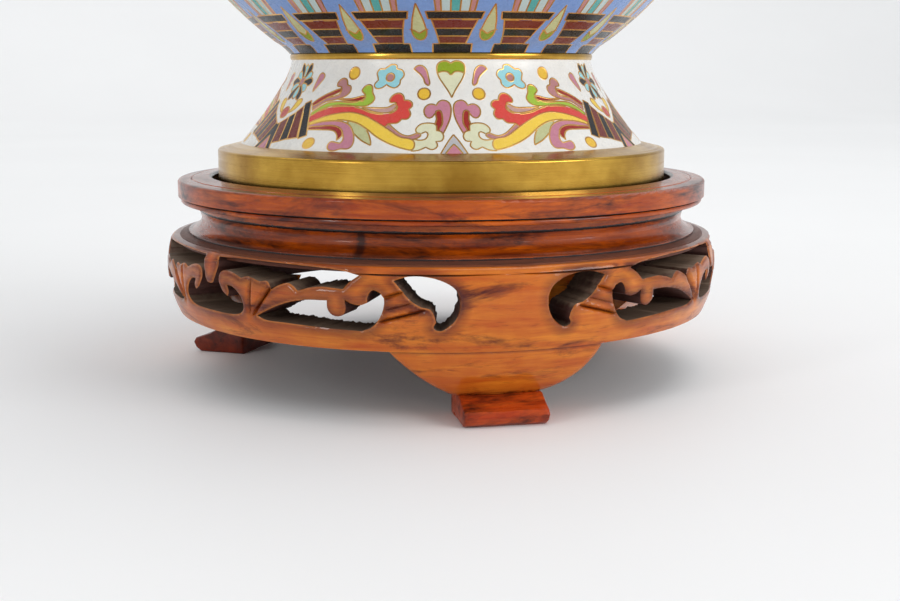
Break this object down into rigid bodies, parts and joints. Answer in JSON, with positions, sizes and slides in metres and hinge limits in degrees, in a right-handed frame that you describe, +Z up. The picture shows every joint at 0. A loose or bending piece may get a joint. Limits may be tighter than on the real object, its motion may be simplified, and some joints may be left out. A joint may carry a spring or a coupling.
{
  "type": "cloisonne vase",
  "caption": "Bottle vase of enamel and brass wire on a spreading foot, with a globular body and a trumpet neck, standing in a carved wooden stand on short feet.",
  "frame": {"origin": "on the floor, under the common axis of vase and stand", "axes": "+Z up along the axis; -Y through the middle of the stand's front foot"},
  "size_m": [0.1968, 0.1968, 0.437],
  "materials": {
    "lacquered_wood": "glossy lacquer, orange-brown, dark in the grooves",
    "dark_lacquered_wood": "glossy lacquer, redder brown",
    "plain_wood": "bare, hidden in the joint",
    "gilt_brass": "satin, brushed round",
    "gilt_wire": "polished flush with the enamel",
    "copper": "raised copper sheet under the enamel",
    "white_enamel": "polished enamel, white ground with coloured cells",
    "blue_enamel": "polished enamel, periwinkle ground with coloured cells",
    "turquoise_enamel": "plain glossy counter-enamel"
  },
  "bodies": {
    "stand": {"rim_ring": "lacquered_wood", "seat_board": "lacquered_wood", "waist_moulding": "lacquered_wood", "deck_ring": "lacquered_wood", "apron_front_right": "lacquered_wood", "apron_back": "lacquered_wood", "apron_front_left": "lacquered_wood", "leg_block_front": "lacquered_wood", "leg_block_right": "lacquered_wood", "leg_block_left": "lacquered_wood", "foot_pad_front": "dark_lacquered_wood", "foot_pad_right": "dark_lacquered_wood", "foot_pad_left": "dark_lacquered_wood", "leg_dowels": "plain_wood"},
    "vase": {"foot_ring": "gilt_brass", "foot_core": "copper", "foot_enamel": "white_enamel", "foot_lining": "turquoise_enamel", "waist_band": "gilt_brass", "lower_body_core": "copper", "upper_body_core": "copper", "neck_core": "copper", "lower_band_enamel": "blue_enamel", "belly_enamel": "white_enamel", "shoulder_enamel": "blue_enamel", "neck_root_enamel": "blue_enamel", "neck_enamel": "white_enamel", "mouth_enamel": "blue_enamel", "neck_band": "gilt_brass", "bowl_lining": "turquoise_enamel", "shoulder_lining": "turquoise_enamel", "neck_lining": "turquoise_enamel", "mouth_rim": "gilt_brass", "border_wires": "gilt_wire"}
  },
  "joints": [
    {"name": "vase_lift", "type": "slide", "parent": "stand", "child": "vase", "axis": [0, 0, 1], "range_m": [0, 0.03]}
  ]
}
